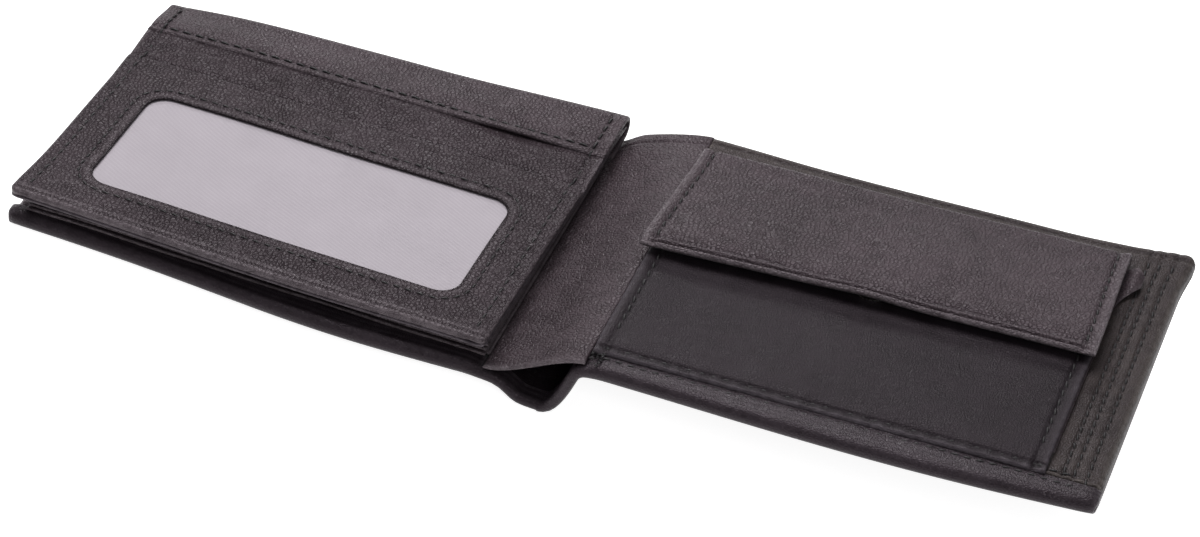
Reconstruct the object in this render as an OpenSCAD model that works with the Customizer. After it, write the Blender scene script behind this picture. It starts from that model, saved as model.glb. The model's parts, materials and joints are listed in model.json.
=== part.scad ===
// Three-leaf leather wallet, lying open: a left leaf with card slots and a fold-over window leaf,
// a wide fold, and a right leaf with a flapped coin pocket.
// X runs along the opened wallet, Y from the sewn edge to the banknote opening, Z up.
// The origin is the middle of the line on which the bulged fold rests.

/* [Leaves] */
// Length of each leaf, from its crease to its outer end
leaf_length = 119; // [112:1:130]
// Height of each leaf, from the sewn edge to the banknote opening
leaf_height = 95; // [93:1:100]
// Radius of the leaves' outer corners
corner_radius = 6; // [5.5:0.5:8]
// Upward tilt of the right leaf, in degrees
right_tilt = 5; // [0:0.5:8]

/* [Fold] */
// Distance between the two leaves along X
fold_gap = 23; // [20:1:26]
// Depth of the cover's bulge below the left leaf
fold_drop = 3.5; // [2:0.5:5]
// Height of the right leaf's inner end above the left leaf's
right_rise = 11; // [8:0.5:12]
// Distance from the fold's middle to the lowest line of its bulge
bulge_offset = 2.4; // [0:0.2:3]
// Width of the flat on which the bulge rests
rest_width = 3; // [2:0.5:4]

/* [Leather] */
// Thickness of the outer cover leather
cover_t = 1.2; // [1:0.1:1.4]
// Thickness of the lining cloth
lining_t = 0.6; // [0.4:0.1:0.6]
// Thickness of one card slot's leather
slot_t = 0.7; // [0.5:0.1:0.8]
// Width of the turned edge on top of the leaves
lip_width = 5; // [4:0.5:5]
// Width of a sewing thread
thread_w = 0.6; // [0.4:0.1:0.8]

/* [Window leaf] */
// Height of the window leaf's underside above the left leaf's underside
window_leaf_z = 8.8; // [8.5:0.1:10]
// Length of the window
window_length = 92.5; // [80:0.5:94]
// Height of the window
window_height = 38; // [30:1:40]
// Margin between the window and the window leaf's free edge
window_margin = 12.5; // [10:0.5:13]
// Radius of the window's corners
window_radius = 5; // [3:0.5:8]
// Radius of the rolled hinge band
hinge_radius = 3.4; // [3:0.1:3.4]

/* [Coin pocket] */
// Length of the coin pocket along the leaf
pocket_length = 106; // [100:0.5:106]
// Distance from the leaf's sewn edge to the pocket's lower edge
pocket_margin = 6.5; // [6:0.5:8]
// Distance from the leaf's sewn edge to the coin flap's fold
flap_fold = 85; // [84.5:0.5:86]
// Length of the coin flap from its fold to its free edge
flap_length = 41.5; // [38:0.5:44]
// Upward tilt of the closed coin flap over its press stud, in degrees
flap_tilt = 2.2; // [2.2:0.1:3]

/* [Hidden] */
$fn = 64;

black = "#2b292d";
charcoal = "#3a383d";
lining_black = "#242326";
mesh_grey = "#a29ca6";
thread_black = "#151416";
nickel = "silver";

// Levels above a leaf's underside
hem_t = 1.0;
lining_z = 2 * cover_t;
panel_z = lining_z + lining_t;
deck_z = panel_z + cover_t;
slots_z = deck_z + 3 * slot_t;

near_v = -leaf_height / 2;
far_v = leaf_height / 2;
groove = 0.3;
crease_clearance = 0.5;
hem_width = 8;
lining_setback = 4;
overlap = 1;

// Where the two leaves begin, with the bulge's lowest line at the origin
left_start_x = -fold_gap / 2 - bulge_offset;
right_start_x = fold_gap / 2 - bulge_offset;

// Tilt that sets the left leaf's outer end on the table
left_tilt = asin(fold_drop / leaf_length);

// Cover's bulge: a soft shoulder beside the left leaf, then a steep limb up to the right leaf
limb_steps = 12;
limb_power = 1.35;
limb_gap = 0.3;
shoulder = 2;

// Card slots on the left leaf: each mouth's distance from the sewn edge, back to front
slot_mouths = [80, 66, 52];
slot_setback = 2;
slot_end = 2.5;
slot_seam_edge = 4.5;
slot_seam_start = 4;
slot_seam_gap = 2;

// Window leaf levels
back_t = 0.8;
mesh_t = 0.3;
frame_z = window_leaf_z + back_t;
frame_top = frame_z + 1.7;
rim_t = 0.3;
rim_width = 2.2;
mesh_margin = 3;
slot_bottom_v = near_v + window_margin + window_height + 1.5;
frame_end_v = near_v + 64;
slot_mouth_v = near_v + 76;
hinge_v = far_v - 2.5;
band_t = 1.2;
band_top = frame_top + 0.5;
hinge_z = band_top - hinge_radius;
band_edge_v = slot_mouth_v + 1.7;
anchor_t = 0.5;
anchor_v = near_v + 82;
free_corner_radius = 1.5;
leaf_inner_u = crease_clearance;
leaf_outer_u = leaf_length - 0.2;
window_start_u = (leaf_inner_u + leaf_outer_u - window_length) / 2;
window_start_v = near_v + window_margin;

// Coin pocket levels
pocket_back_t = 0.4;
pocket_gap = 0.4;
pocket_front_t = 0.8;
pocket_back_z = deck_z;
gusset_z = pocket_back_z + pocket_back_t;
front_z = gusset_z + pocket_gap;
front_top = front_z + pocket_front_t;
pocket_start_u = 0.6;
pocket_start_v = near_v + pocket_margin;
pocket_mouth_v = near_v + 81;
gusset_width = 5;
pocket_end_v = near_v + 83.4;

// Coin flap levels, before its tilt
flap_gap = 0.3;
flap_lining_t = 0.6;
flap_outer_t = 1.0;
flap_lining_z = front_top + flap_gap;
flap_outer_z = flap_lining_z + flap_lining_t;
flap_fold_v = near_v + flap_fold;
flap_fold_r = 1.3;
flap_fold_z = flap_outer_z + flap_outer_t - flap_fold_r;
flap_start_u = pocket_start_u;
flap_end_u = flap_start_u + pocket_length;

// Press stud
snap_u = flap_start_u + pocket_length / 2;
snap_v = flap_fold_v - flap_length + 7;
hole_clearance = 0.1;
snap_flange_r = 4.5;
snap_flange_t = 0.4;
snap_post_r = 1.8;
snap_post_h = 0.8;
snap_clearance = 0.25;
snap_shank_r = 1.1;
socket_t = 0.7;
socket_neck_r = 2.6;

// Crease axes: the left one at the lining's top, the right one at the panel's top
left_axis = [
    left_start_x - panel_z * sin(left_tilt),
    fold_drop + panel_z * cos(left_tilt)
];
right_axis = [
    right_start_x - deck_z * sin(right_tilt),
    fold_drop + right_rise + deck_z * cos(right_tilt)
];

module on_left_leaf() {
    translate([left_start_x, 0, fold_drop])
        rotate([0, -left_tilt, 0])
            mirror([1, 0, 0])
                children();
}

module on_right_leaf() {
    translate([right_start_x, 0, fold_drop + right_rise])
        rotate([0, -right_tilt, 0])
            children();
}

module on_coin_flap() {
    on_right_leaf()
        translate([0, flap_fold_v, flap_fold_z])
            rotate([-flap_tilt, 0, 0])
                translate([0, -flap_fold_v, -flap_fold_z])
                    children();
}

// A layer of constant thickness that starts at a level
module layer(level, thickness) {
    translate([0, 0, level])
        linear_extrude(thickness)
            children();
}

// Rectangle from a low corner to a high corner
module panel(low, high) {
    translate(low)
        square(high - low);
}

module rounded_panel(low, high, radius) {
    panel([low[0] + radius, low[1]], [high[0] - radius, high[1]]);
    panel([low[0], low[1] + radius], [high[0], high[1] - radius]);
    for (u = [low[0] + radius, high[0] - radius])
        for (v = [low[1] + radius, high[1] - radius])
            translate([u, v])
                circle(radius);
}

// Leaf shape: square at the crease, rounded at the outer end
module leaf_outline(inset, far_inset) {
    radius = max(corner_radius - inset, 0.5);
    end_u = leaf_length - inset;
    low_v = near_v + inset;
    high_v = far_v - far_inset;
    panel([0, low_v], [end_u - radius, high_v]);
    panel([0, low_v + radius], [end_u, high_v - radius]);
    for (v = [low_v + radius, high_v - radius])
        translate([end_u - radius, v])
            circle(radius);
}

// The space inside a turned edge that is open at the crease and at the banknote opening
module leaf_mouth(inset) {
    radius = max(corner_radius - inset, 0.5);
    end_u = leaf_length - inset;
    low_v = near_v + inset;
    panel([-overlap, low_v], [end_u - radius, far_v + overlap]);
    panel([-overlap, low_v + radius], [end_u, far_v + overlap]);
    translate([end_u - radius, low_v + radius])
        circle(radius);
}

module turned_edge(inset) {
    difference() {
        leaf_outline(0, 0);
        leaf_mouth(inset);
    }
}

// Outer leather, wrapped round the sewn edge and the outer end, hemmed at the opening
module cover() {
    layer(0, cover_t)
        leaf_outline(0, 0);
    layer(0, deck_z)
        turned_edge(cover_t);
    layer(panel_z, cover_t)
        turned_edge(lip_width);
    layer(cover_t, hem_t)
        intersection() {
            leaf_outline(0, 0);
            panel([0, far_v - hem_width], [leaf_length, far_v]);
        }
}

module lining() {
    layer(lining_z, lining_t)
        leaf_outline(cover_t, lining_setback);
}

module inner_panel() {
    layer(panel_z, cover_t)
        intersection() {
            leaf_outline(lip_width + groove, overlap);
            panel([crease_clearance, near_v], [leaf_length, far_v]);
        }
}

module card_slot(index) {
    layer(deck_z + index * slot_t, slot_t)
        panel(
            [2 * crease_clearance, near_v + slot_setback],
            [leaf_length - slot_end, near_v + slot_mouths[index]]
        );
}

// Half-round thread lying on a level between two points along U or V
module seam(from, to, level) {
    run = to - from;
    translate([from[0], from[1], level])
        rotate([0, 0, atan2(run[1], run[0])])
            rotate([90, 0, 90])
                linear_extrude(norm(run))
                    intersection() {
                        circle(thread_w / 2);
                        panel([-thread_w, 0], [thread_w, thread_w]);
                    }
}

module left_cover() {
    color(black) on_left_leaf() cover();
}

module left_lining() {
    color(lining_black) on_left_leaf() lining();
}

module left_inner_panel() {
    color(charcoal) on_left_leaf() inner_panel();
}

module card_slot_back() {
    color(charcoal) on_left_leaf() card_slot(0);
}

module card_slot_middle() {
    color(charcoal) on_left_leaf() card_slot(1);
}

module card_slot_front() {
    color(charcoal) on_left_leaf() card_slot(2);
}

// Fixed half of the window leaf's hinge band, sewn to the left inner panel
module window_hinge_anchor() {
    color(black)
        on_left_leaf()
            layer(deck_z, anchor_t)
                panel([leaf_inner_u, anchor_v],
                      [leaf_length - lip_width - groove, far_v - overlap]);
}

module left_seam_thread() {
    outer = leaf_length - slot_end - slot_seam_gap;
    low = near_v + slot_seam_edge;
    color(thread_black)
        on_left_leaf() {
            seam([slot_seam_start, low], [outer, low], slots_z);
            seam([outer, low + thread_w], [outer, near_v + slot_mouths[2] - slot_seam_gap], slots_z);
        }
}

// Underside of the bulge, from the left leaf to the right leaf
shoulder_x = left_start_x + shoulder;
limb_start_x = rest_width / 2;
limb_end_x = right_start_x - 2 * limb_gap;
left_limb = [
    [left_start_x + limb_gap, fold_drop],
    for (i = [0:limb_steps])
        let (s = i / limb_steps)
            [
                shoulder_x + s * (-rest_width / 2 - shoulder_x),
                fold_drop * (1 + cos(180 * s)) / 2
            ]
];
right_limb = [
    for (i = [0:limb_steps])
        let (s = i / limb_steps)
            [
                limb_start_x + s * (limb_end_x - limb_start_x),
                (fold_drop + right_rise - limb_gap) * pow(s, limb_power)
            ]
];
fold_outside = concat(left_limb, right_limb);

function unit(p) = p / norm(p);
function side_of(points, i) =
    let (last = len(points) - 1, run = unit(points[min(i + 1, last)] - points[max(i - 1, 0)]))
        [-run[1], run[0]];
fold_inside = [
    for (i = [len(fold_outside) - 1:-1:0])
        fold_outside[i] + cover_t * side_of(fold_outside, i)
];

module along_fold(low_v, high_v) {
    translate([0, high_v, 0])
        rotate([90, 0, 0])
            linear_extrude(high_v - low_v)
                children();
}

// Bulged outer leather of the fold
module fold_cover() {
    color(black)
        along_fold(near_v, far_v)
            polygon(concat(fold_outside, fold_inside));
}

// Lining strip that spans the fold between the two crease axes
module fold_lining() {
    run = unit(right_axis - left_axis);
    below = [run[1], -run[0]];
    start = left_axis + limb_gap * run;
    end = right_axis - limb_gap * run;
    color(charcoal)
        along_fold(near_v, far_v - lining_setback)
            polygon([
                start,
                end,
                end + cover_t * below - 3 * limb_gap * run,
                start + cover_t * below
            ]);
}

module right_cover() {
    color(black) on_right_leaf() cover();
}

module right_lining() {
    color(lining_black) on_right_leaf() lining();
}

module right_inner_panel() {
    color(charcoal) on_right_leaf() inner_panel();
}

module coin_pocket_back() {
    color(lining_black)
        on_right_leaf()
            layer(pocket_back_z, pocket_back_t)
                panel(
                    [pocket_start_u, pocket_start_v],
                    [pocket_start_u + pocket_length, pocket_end_v]
                );
}

// Folded strips that join the pocket's front and back at its two ends
module coin_pocket_gussets() {
    color(lining_black)
        on_right_leaf()
            for (u = [pocket_start_u, pocket_start_u + pocket_length - gusset_width])
                layer(gusset_z, pocket_gap)
                    panel([u, pocket_start_v + gusset_width], [u + gusset_width, pocket_end_v]);
}

module coin_pocket_front() {
    low = [pocket_start_u, pocket_start_v];
    color(charcoal)
        on_right_leaf()
            difference() {
                union() {
                    layer(front_z, pocket_front_t)
                        panel(low, [pocket_start_u + pocket_length, pocket_mouth_v]);
                    layer(gusset_z, pocket_gap)
                        panel(low, low + [pocket_length, gusset_width - groove]);
                }
                translate([snap_u, snap_v, front_z - overlap])
                    cylinder(r = snap_shank_r + hole_clearance, h = pocket_front_t + 2 * overlap);
            }
}

module snap_stud() {
    color(nickel)
        on_right_leaf()
            translate([snap_u, snap_v, front_z]) {
                cylinder(r = snap_shank_r, h = pocket_front_t);
                translate([0, 0, pocket_front_t])
                    cylinder(r = snap_flange_r, h = snap_flange_t);
                translate([0, 0, pocket_front_t + snap_flange_t])
                    cylinder(r = snap_post_r, h = snap_post_h);
            }
}

// Disc inside the pocket that clamps the stud to the pocket's front
module snap_rivet() {
    color(nickel)
        on_right_leaf()
            translate([snap_u, snap_v, gusset_z])
                cylinder(r = snap_flange_r, h = pocket_gap);
}

module coin_pocket_thread() {
    edge = 3;
    color(thread_black)
        on_right_leaf()
            for (u = [pocket_start_u + edge, pocket_start_u + pocket_length - edge])
                seam([u, pocket_start_v + edge], [u, pocket_mouth_v - edge], front_top);
}

// Seams along the right leaf's sewn edge and in three rows along its outer end
module right_seam_thread() {
    edge_rows = [2.6, 6];
    end_rows = [3.4, 6.4, 8.8];
    start = 4;
    turn = 8;
    color(thread_black)
        on_right_leaf() {
            for (row = edge_rows)
                seam([start, near_v + row], [leaf_length - turn, near_v + row], deck_z);
            for (row = end_rows)
                seam(
                    [leaf_length - row, near_v + turn],
                    [leaf_length - row, far_v - turn],
                    deck_z
                );
        }
}

// Short dense bars of stitching at the crease end of the sewn edge and at the pocket's mouth
module bar_tacks() {
    tack = [1.2, 5, 0.4];
    inset = 1.5;
    color(thread_black)
        on_right_leaf() {
            translate([crease_clearance, near_v + overlap, deck_z])
                cube(tack);
            for (u = [pocket_start_u + inset, pocket_start_u + pocket_length - inset - tack[0]])
                translate([u, pocket_mouth_v - tack[1] - overlap, front_top])
                    cube([tack[0], tack[1] - overlap, flap_gap / 2]);
        }
}

module window_leaf_back() {
    color(black)
        on_left_leaf()
            layer(window_leaf_z, back_t)
                rounded_panel([leaf_inner_u, near_v], [leaf_outer_u, hinge_v], free_corner_radius);
}

module window_opening(margin) {
    rounded_panel(
        [window_start_u - margin, window_start_v - margin],
        [window_start_u + window_length + margin, window_start_v + window_height + margin],
        window_radius + margin
    );
}

module window_mesh() {
    color(mesh_grey)
        on_left_leaf()
            layer(frame_z, mesh_t)
                intersection() {
                    window_opening(mesh_margin);
                    panel([0, near_v], [leaf_length, slot_bottom_v - groove]);
                }
}

// Leather frame round the window, stepped at its far side to lie over the slot behind it
module window_frame() {
    color(charcoal)
        on_left_leaf()
            difference() {
                union() {
                    layer(frame_z, frame_top - frame_z)
                        rounded_panel([leaf_inner_u, near_v], [leaf_outer_u, slot_bottom_v],
                                      free_corner_radius);
                    layer(frame_z + slot_t, frame_top - frame_z - slot_t)
                        panel([leaf_inner_u, near_v + window_margin], [leaf_outer_u, frame_end_v]);
                    layer(frame_top, rim_t)
                        window_opening(rim_width);
                }
                layer(frame_z - overlap, frame_top - frame_z + 3 * overlap)
                    window_opening(0);
                layer(frame_z - overlap, mesh_t + overlap)
                    window_opening(mesh_margin);
            }
}

module window_leaf_slot() {
    color(charcoal)
        on_left_leaf()
            layer(frame_z, slot_t)
                panel([leaf_inner_u, slot_bottom_v], [leaf_outer_u, slot_mouth_v]);
}

// Leather between the slot's mouth and the hinge band
module window_leaf_top_strip() {
    color(charcoal)
        on_left_leaf()
            layer(frame_z, band_top - band_t - frame_z)
                panel([leaf_inner_u, slot_mouth_v + groove], [leaf_outer_u, hinge_v]);
}

// Rolled band on which the window leaf turns, with its tail sewn over the leaf
module window_hinge_band() {
    color(black)
        on_left_leaf()
            translate([leaf_inner_u, 0, 0])
                rotate([90, 0, 90])
                    linear_extrude(leaf_outer_u - leaf_inner_u) {
                        panel([band_edge_v, band_top - band_t], [hinge_v, band_top]);
                        translate([hinge_v, hinge_z])
                            difference() {
                                circle(hinge_radius);
                                circle(hinge_radius - band_t);
                                panel([-2 * hinge_radius, -2 * hinge_radius], [0, 2 * hinge_radius]);
                            }
                    }
}

module window_thread() {
    distance = 3.2;
    color(thread_black)
        on_left_leaf()
            layer(frame_top, thread_w / 2)
                difference() {
                    window_opening(distance + thread_w / 2);
                    window_opening(distance - thread_w / 2);
                }
}

// Seams along both ends of the window leaf and along the hinge band's tail
module window_leaf_thread() {
    edge = 3.5;
    gap = 1;
    color(thread_black)
        on_left_leaf() {
            for (u = [leaf_inner_u + edge, leaf_outer_u - edge]) {
                seam([u, near_v + edge], [u, frame_end_v - gap], frame_top);
                seam([u, frame_end_v + gap], [u, slot_mouth_v - gap], frame_z + slot_t);
            }
            seam(
                [leaf_inner_u + edge, band_edge_v + gap],
                [leaf_outer_u - edge, band_edge_v + gap],
                band_top
            );
        }
}

module coin_flap_outer() {
    low = [flap_start_u, flap_fold_v - flap_length];
    color(charcoal)
        on_coin_flap()
            difference() {
                union() {
                    layer(flap_outer_z, flap_outer_t)
                        panel(low, [flap_end_u, flap_fold_v]);
                    translate([flap_start_u, flap_fold_v, flap_fold_z])
                        rotate([90, 0, 90])
                            linear_extrude(pocket_length)
                                difference() {
                                    circle(flap_fold_r);
                                    panel([-2 * flap_fold_r, -2 * flap_fold_r],
                                          [0, 2 * flap_fold_r]);
                                }
                }
                translate([snap_u, snap_v, flap_outer_z - overlap])
                    cylinder(r = snap_flange_r + hole_clearance, h = overlap + snap_flange_t);
            }
}

module coin_flap_lining() {
    inset = 0.8;
    color(lining_black)
        on_coin_flap()
            difference() {
                layer(flap_lining_z, flap_lining_t)
                    panel(
                        [flap_start_u + inset, flap_fold_v - flap_length + inset],
                        [flap_end_u - inset, flap_fold_v - flap_fold_r]
                    );
                translate([snap_u, snap_v, flap_lining_z - overlap])
                    cylinder(r = socket_neck_r + hole_clearance, h = flap_lining_t + 2 * overlap);
            }
}

module snap_socket() {
    color(nickel)
        on_coin_flap()
            translate([snap_u, snap_v, flap_lining_z])
                difference() {
                    union() {
                        translate([0, 0, -socket_t])
                            cylinder(r = snap_flange_r, h = socket_t);
                        cylinder(r = socket_neck_r, h = flap_lining_t);
                    }
                    translate([0, 0, -socket_t - overlap])
                        cylinder(r = snap_post_r + snap_clearance, h = socket_t + 2 * overlap);
                }
}

// Concealed disc between the flap's two layers that holds the socket
module snap_cap() {
    color(nickel)
        on_coin_flap()
            translate([snap_u, snap_v, flap_outer_z])
                cylinder(r = snap_flange_r, h = snap_flange_t);
}

module coin_flap_thread() {
    edge = 3;
    top = flap_outer_z + flap_outer_t;
    low = flap_fold_v - flap_length + edge;
    color(thread_black)
        on_coin_flap() {
            for (u = [flap_start_u + edge, flap_end_u - edge])
                seam([u, low], [u, flap_fold_v - edge], top);
            seam(
                [flap_start_u + edge + thread_w, low],
                [flap_end_u - edge - thread_w, low],
                top
            );
        }
}

left_cover();
left_lining();
left_inner_panel();
card_slot_back();
card_slot_middle();
card_slot_front();
window_hinge_anchor();
left_seam_thread();
fold_cover();
fold_lining();
right_cover();
right_lining();
right_inner_panel();
coin_pocket_back();
coin_pocket_gussets();
coin_pocket_front();
snap_stud();
snap_rivet();
coin_pocket_thread();
right_seam_thread();
bar_tacks();
window_leaf_back();
window_mesh();
window_frame();
window_leaf_slot();
window_leaf_top_strip();
window_hinge_band();
window_thread();
window_leaf_thread();
coin_flap_outer();
coin_flap_lining();
snap_socket();
snap_cap();
coin_flap_thread();
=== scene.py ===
"""Looks of the open three-leaf wallet: leather skins, cloth linings, stitches, materials and light.

Lengths in this script are millimetres. Each leaf has its own coordinates: u from its crease
outwards, v along the crease from the sewn edge to the banknote opening, h up from its underside.
"""

import json
import math

import bpy
import numpy as np
from mathutils import Matrix, Vector


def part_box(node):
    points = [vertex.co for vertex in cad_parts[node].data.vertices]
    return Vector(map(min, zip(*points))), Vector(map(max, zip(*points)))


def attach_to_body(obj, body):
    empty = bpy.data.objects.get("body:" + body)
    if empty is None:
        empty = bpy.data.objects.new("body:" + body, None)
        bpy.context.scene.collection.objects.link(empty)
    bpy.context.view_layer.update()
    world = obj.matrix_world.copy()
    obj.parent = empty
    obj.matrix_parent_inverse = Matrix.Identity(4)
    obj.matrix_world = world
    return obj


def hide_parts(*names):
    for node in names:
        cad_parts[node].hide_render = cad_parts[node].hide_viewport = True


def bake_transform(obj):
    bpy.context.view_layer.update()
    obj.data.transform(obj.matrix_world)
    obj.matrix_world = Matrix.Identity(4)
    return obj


MM = 0.001
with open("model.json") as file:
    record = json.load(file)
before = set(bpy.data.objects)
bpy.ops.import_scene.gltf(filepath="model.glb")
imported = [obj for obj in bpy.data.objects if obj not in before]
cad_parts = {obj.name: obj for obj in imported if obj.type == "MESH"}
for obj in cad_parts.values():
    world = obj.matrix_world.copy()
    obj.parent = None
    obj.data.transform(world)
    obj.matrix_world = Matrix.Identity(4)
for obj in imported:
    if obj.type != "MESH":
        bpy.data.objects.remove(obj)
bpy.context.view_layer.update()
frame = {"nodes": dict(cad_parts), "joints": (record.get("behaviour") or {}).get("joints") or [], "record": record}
joints = {j["name"]: j for j in frame["joints"]}
mounts = {m["name"]: m for m in frame["record"]["mounts"]}

STITCH_PITCH = 3.3
CLOSE_PITCH = 2.9
STITCH_LENGTH = 2.5
STITCH_RADIUS = 0.27
GROOVE = 0.3
# Distances from a round edge, as shares of its radius, at which a grid has a line
ROUND_STEPS = [1 - math.cos(math.radians(a)) for a in (0, 25, 45, 63, 78, 90)]
SEAM_STEPS = (-1.4, -0.9, -0.5, -0.2, 0.2, 0.5, 0.9, 1.4)


# ---------------- leaf coordinates


def ripple(u, v, seed):
    """A smooth unevenness between about -1 and 1."""
    return (
        0.5 * np.sin(u / 15.0 + 1.3 * seed)
        + 0.3 * np.sin(v / 11.0 + 2.1 * seed)
        + 0.2 * np.sin((u + 1.4 * v) / 8.0 + 3.7 * seed)
    )


def bell(distance, width):
    return np.exp(-((distance / width) ** 2))


def smooth(x, low, high):
    t = np.clip((x - low) / (high - low), 0, 1)
    return t * t * (3 - 2 * t)


def corner(u, v):
    """Share, 1 at the outer end's far corner, by which that corner is pulled outwards."""
    return smooth(u, LENGTH - 14, LENGTH) * smooth(v, FAR - 14, FAR)


class Leaf:
    """One leaf's plane, worked out from its outer face's mount and its crease."""

    def __init__(self, face, crease, side, droop, flick):
        middle = np.array(mounts[face]["pos_m"]) / MM
        axis = np.array(joints[crease]["pos_m"]) / MM
        self.h_dir = -np.array(mounts[face]["axis"])
        self.droop = droop
        self.flick = flick
        self.u_dir = side * np.array([self.h_dir[2], 0, -self.h_dir[0]])
        self.length = 2 * float((middle - axis) @ self.u_dir)
        self.origin = middle - self.u_dir * self.length / 2

    def place(self, u, v, h):
        """Points in the CAD frame, in millimetres, for arrays of u, v and h."""
        u, v, h = np.broadcast_arrays(u, v, h)
        u = u + self.flick * corner(u, v)
        h = h + 0.22 * ripple(u, v, 1.0) * smooth(h, 1.0, 3.0)
        pressed = smooth(u, -4, 30) * (1 - smooth(u, LENGTH - 30, LENGTH - 6))
        h = h - self.droop * pressed * smooth(v, FAR - 14, FAR) * smooth(h, 1.0, 4.0)
        h = h + self.flick * corner(u, v)
        spread = u[..., None] * self.u_dir + h[..., None] * self.h_dir
        spread = spread + self.origin
        spread[..., 1] += v
        return spread

    def extent(self, node):
        """Lowest and highest (u, v, h) of a CAD node."""
        points = np.array([v.co for v in frame["nodes"][node].data.vertices], float)
        points = points.reshape(-1, 3) / MM - self.origin
        local = np.stack([points @ self.u_dir, points[:, 1], points @ self.h_dir], 1)
        return local.min(0), local.max(0)


left = Leaf("left_outer_face", "left_crease", -1, droop=0.0, flick=0.0)
right = Leaf("right_outer_face", "right_crease", 1, droop=1.0, flick=1.3)
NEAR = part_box("left_cover")[0][1] / MM
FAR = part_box("left_cover")[1][1] / MM
LENGTH = left.length
COVER = left.extent("left_lining")[0][2] / 2
DECK = left.extent("left_inner_panel")[1][2]
CORNER = 2.8
SPREAD = 0.8
# The right leaf's three seams beside its outer end, as distances from that end
END_ROWS = (3.4, 6.4, 8.8)


def window_place(u, v, h):
    """The window leaf lies a little askew, and flatter at the outer end of its hinge."""
    along = np.clip((v - NEAR) / (FAR - NEAR), 0, 1.1)
    outer = np.clip(u / LENGTH, 0, 1)
    beyond = np.clip(v - 24, 0, 30)
    skew_v = along * (1.2 - 2.6 * outer) - 0.16 * outer**2 * beyond
    skew_u = -1.9 * along + 1.2 * outer * smooth(along, 0.5, 1.0)
    tip = bell(LENGTH - u, 16) * bell(v - NEAR, 14)
    sag = 1.0 * outer * smooth(v, -10, FAR) + 0.9 * smooth(v, 30, FAR)
    sag = sag + 1.1 * bell(LENGTH - u, 12) * smooth(v, 32, FAR)
    edge_wave = 0.35 * np.sin(u / 13.0 + 0.6) * bell(v - NEAR, 5)
    h = h + 0.9 * tip - sag + 0.2 * ripple(u, v, 2.3)
    h = h + 1.5 * bell(u, 28) * smooth(v, 25, FAR)
    return left.place(u + skew_u + 0.8 * tip, v + skew_v + edge_wave, h)


flap_low, flap_high = right.extent("coin_flap_outer")
flap_axis = np.array(joints["coin_flap_fold"]["pos_m"]) / MM - right.origin
FLAP_V = float(flap_axis[1])
FLAP_H = float(flap_axis @ right.h_dir)
FLAP_TILT = math.radians(2.2)
FLAP_LENGTH = 41.5
FLAP_GAP, FLAP_LINING_T, FLAP_LEATHER_T = 0.3, 0.6, 1.0
STUD_U = float(np.mean([right.extent("snap_stud")[i][0] for i in (0, 1)]))


def flap_place(u, v, h):
    """The closed coin flap rests on the press stud, so it tilts up from its fold."""
    dv, dh = v - FLAP_V, h - FLAP_H
    turn = FLAP_TILT * smooth(-dv, 0, 12)
    wave = 0.5 * np.sin(u / 21.0 - 0.4) * smooth(-dv, 22, 42)
    belly = 0.5 * bell(u - 62, 30) * bell(dv + 20, 14)
    belly -= 0.7 * smooth(-dv, 35, 42) * (1 - bell(u - STUD_U, 9))
    inner = np.clip(1 - u / flap_high[0], 0, 1)
    free = smooth(-dv, 0, 40)
    skew_u = 1.1 * free - 3.1 * free * inner
    skew_v = 1.2 * free - 2.8 * free * inner - 1.2 * inner * (1 - free)
    height = FLAP_H + dh - dv * np.tan(turn) + belly + 0.12 * ripple(u, v, 4.1)
    return right.place(u + skew_u, FLAP_V + dv + wave + skew_v, height)


BODIES = {
    left.place: "left_leaf", right.place: "right_leaf",
    window_place: "window_leaf", flap_place: "coin_flap",
}
# Leathers that share a slot.
SHARED_SLOTS = dict.fromkeys(("frame_leather", "pocket_leather", "end_leather"), "inner_leather")


# ---------------- mesh building


def lines(low, high, step, edge, marks=()):
    """Grid lines, closer together over the two round edges and beside each mark."""
    spots = [low + edge * r for r in ROUND_STEPS] + [high - edge * r for r in ROUND_STEPS]
    spots += [mark + offset for mark in marks for offset in SEAM_STEPS]
    spots += list(np.linspace(low, high, max(2, round((high - low) / step)) + 1))
    kept = []
    for spot in sorted(s for s in spots if low <= s <= high):
        if not kept or spot - kept[-1] > 0.02:
            kept.append(spot)
    kept[-1] = high
    return np.array(kept)


def from_sides(u, low, high):
    """Distance from the nearer of a piece's two sides, for its low and high (u, v) corners."""
    return np.minimum(u - low[0], high[0] - u)


def from_rim(u, v, low, high):
    return np.minimum(from_sides(u, low, high), np.minimum(v - low[1], high[1] - v))


def run_along(path):
    """Length of a polyline up to each of its points."""
    return np.r_[0, np.cumsum(np.linalg.norm(np.diff(path, axis=0), axis=1))]


def flat_at(height):
    """The same height everywhere, as a function of u and v."""

    def level(u, v):
        return np.full(np.shape(u), height)

    return level


def rounded(distance, radius):
    """Share of the full thickness at a distance from a round edge."""
    s = np.clip(1 - distance / radius, 0, 1)
    return np.sqrt(1 - s * s)


def add_object(name, data):
    thing = bpy.data.objects.new(name, data)
    bpy.context.scene.collection.objects.link(thing)
    return thing


def make_piece(name, points, faces, material, wear_light_shade=None):
    used, index = np.unique(np.concatenate([np.ravel(f) for f in faces]), return_inverse=True)
    points = points[used]
    starts = np.cumsum([0] + [np.size(f) for f in faces])
    faces = [index[a:b].reshape(np.shape(f)) for a, b, f in zip(starts, starts[1:], faces)]
    mesh = bpy.data.meshes.new(name)
    mesh.from_pydata((points * MM).tolist(), [], [q for f in faces for q in f.tolist()])
    mesh.polygons.foreach_set("use_smooth", [True] * len(mesh.polygons))
    mesh.set_sharp_from_angle(angle=math.radians(62))
    # Per-point value for the leather shader: edge wear and painted highlight where positive, painted shade where
    # negative.
    shade = np.zeros(len(points)) if wear_light_shade is None else wear_light_shade[used]
    attribute = mesh.attributes.new("wear_light_shade", "FLOAT", "POINT")
    attribute.data.foreach_set("value", shade.astype(np.float32))
    mesh.materials.append(material)
    piece = add_object(name, mesh)
    return piece


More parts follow.
